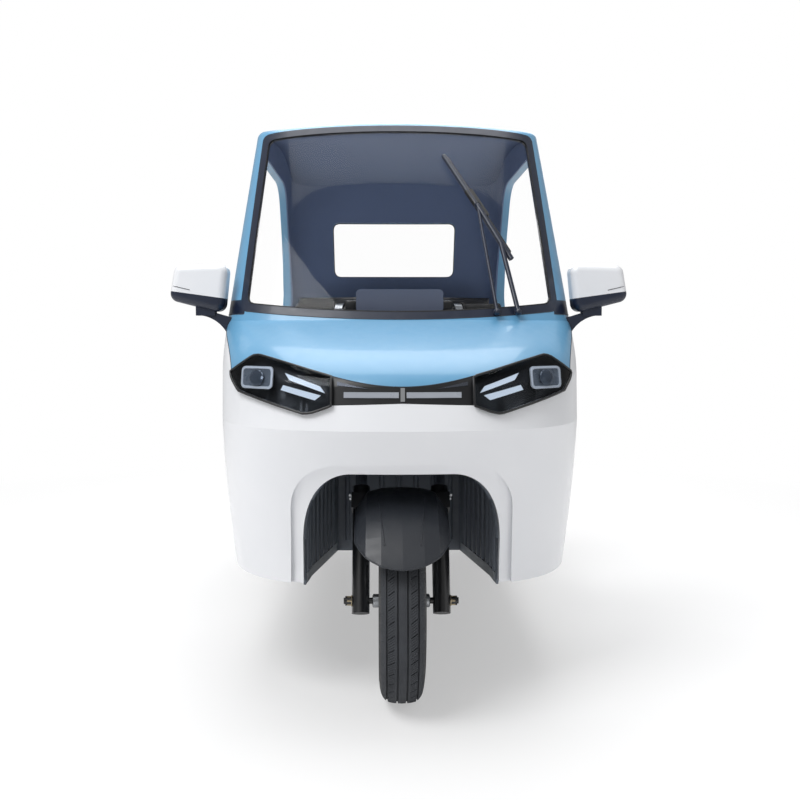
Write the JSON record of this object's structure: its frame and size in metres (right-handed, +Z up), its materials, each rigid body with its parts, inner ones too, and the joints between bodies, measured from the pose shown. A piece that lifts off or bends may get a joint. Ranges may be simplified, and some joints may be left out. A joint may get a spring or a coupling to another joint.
{
  "type": "enclosed electric tricycle",
  "caption": "Small roofed three-wheeled electric vehicle with a windscreen cab open at the sides, a steered front wheel, a driver seat and a rear bench.",
  "frame": {"origin": "on the ground under the middle of the vehicle: centre of the bounding box in plan, lowest point of the tyres in height", "axes": "+Z up, -Y towards the front, +X on the right of someone who looks at the front"},
  "size_m": [1.269, 2.3155, 1.631],
  "materials": {
    "white_panel": "glossy painted moulding",
    "blue_panel": "glossy light blue painted moulding",
    "black_trim": "satin black moulding",
    "lining": "dark slate lining",
    "dark_plastic": "grained dark grey moulding",
    "lamp_lens": "smoked clear lens over a dark housing",
    "red_lens": "red lens",
    "frame_steel": "black powder coat",
    "fork_black": "satin black paint",
    "mudguard": "satin dark grey moulding",
    "chrome": "polished",
    "alloy": "cast, clear coated",
    "rubber": "moulded",
    "tyre": "black tread rubber",
    "seat_leather": "black synthetic leather",
    "glass": "lightly tinted, polished"
  },
  "bodies": {
    "chassis": {"front_fairing": "white_panel", "bonnet": "blue_panel", "windscreen_surround": "black_trim", "windscreen_glass": "glass", "roof_shell": "blue_panel", "cab_lining": "lining", "rear_shell": "blue_panel", "rear_window": "glass", "rear_lower_body": "white_panel", "side_sills": "white_panel", "rear_arch_liners": "dark_plastic", "wheel_well_liner": "dark_plastic", "headlamps": "lamp_lens", "lamp_strip": "lamp_lens", "tail_lamps": "red_lens", "chassis_frame": "frame_steel", "rear_axle": "frame_steel", "floor_pan": "dark_plastic", "dashboard": "dark_plastic", "instrument_cluster": "black_trim", "seat_box": "dark_plastic", "battery_pack": "dark_plastic", "driver_backrest": "seat_leather", "bench_box": "dark_plastic", "bench_cushions": "seat_leather", "rear_bumper": "frame_steel", "plate_bracket": "black_trim", "wiper": "black_trim", "mirror_caps": "white_panel", "mirror_arms": "black_trim"},
    "seat": {"seat_lid": "dark_plastic", "driver_cushion": "seat_leather"},
    "steering": {"fork_yoke": "fork_black", "fork_stanchions": "chrome", "fork_legs": "fork_black", "front_mudguard": "mudguard", "handlebar": "fork_black", "handlebar_grips": "rubber", "brake_levers": "alloy"},
    "front_wheel": {"front_tyre": "tyre", "front_rim": "alloy"},
    "rear_wheel_left": {"rear_tyre_left": "tyre", "rear_rim_left": "alloy"},
    "rear_wheel_right": {"rear_tyre_right": "tyre", "rear_rim_right": "alloy"}
  },
  "joints": [
    {"name": "steer", "type": "hinge", "parent": "chassis", "child": "steering", "pos_m": [0, -0.9075, 0.25], "axis": [0, 0.4226, 0.9063], "range_deg": [-35, 35]},
    {"name": "front_wheel_spin", "type": "hinge", "parent": "steering", "child": "front_wheel", "pos_m": [0, -0.9075, 0.25], "axis": [1, 0, 0], "continuous": true},
    {"name": "rear_wheel_left_spin", "type": "hinge", "parent": "chassis", "child": "rear_wheel_left", "pos_m": [-0.42, 0.6925, 0.25], "axis": [1, 0, 0], "continuous": true},
    {"name": "rear_wheel_right_spin", "type": "hinge", "parent": "chassis", "child": "rear_wheel_right", "pos_m": [0.42, 0.6925, 0.25], "axis": [1, 0, 0], "continuous": true},
    {"name": "seat_tilt", "type": "hinge", "parent": "chassis", "child": "seat", "pos_m": [0, -0.2185, 0.597], "axis": [1, 0, 0], "range_deg": [0, 70]}
  ]
}
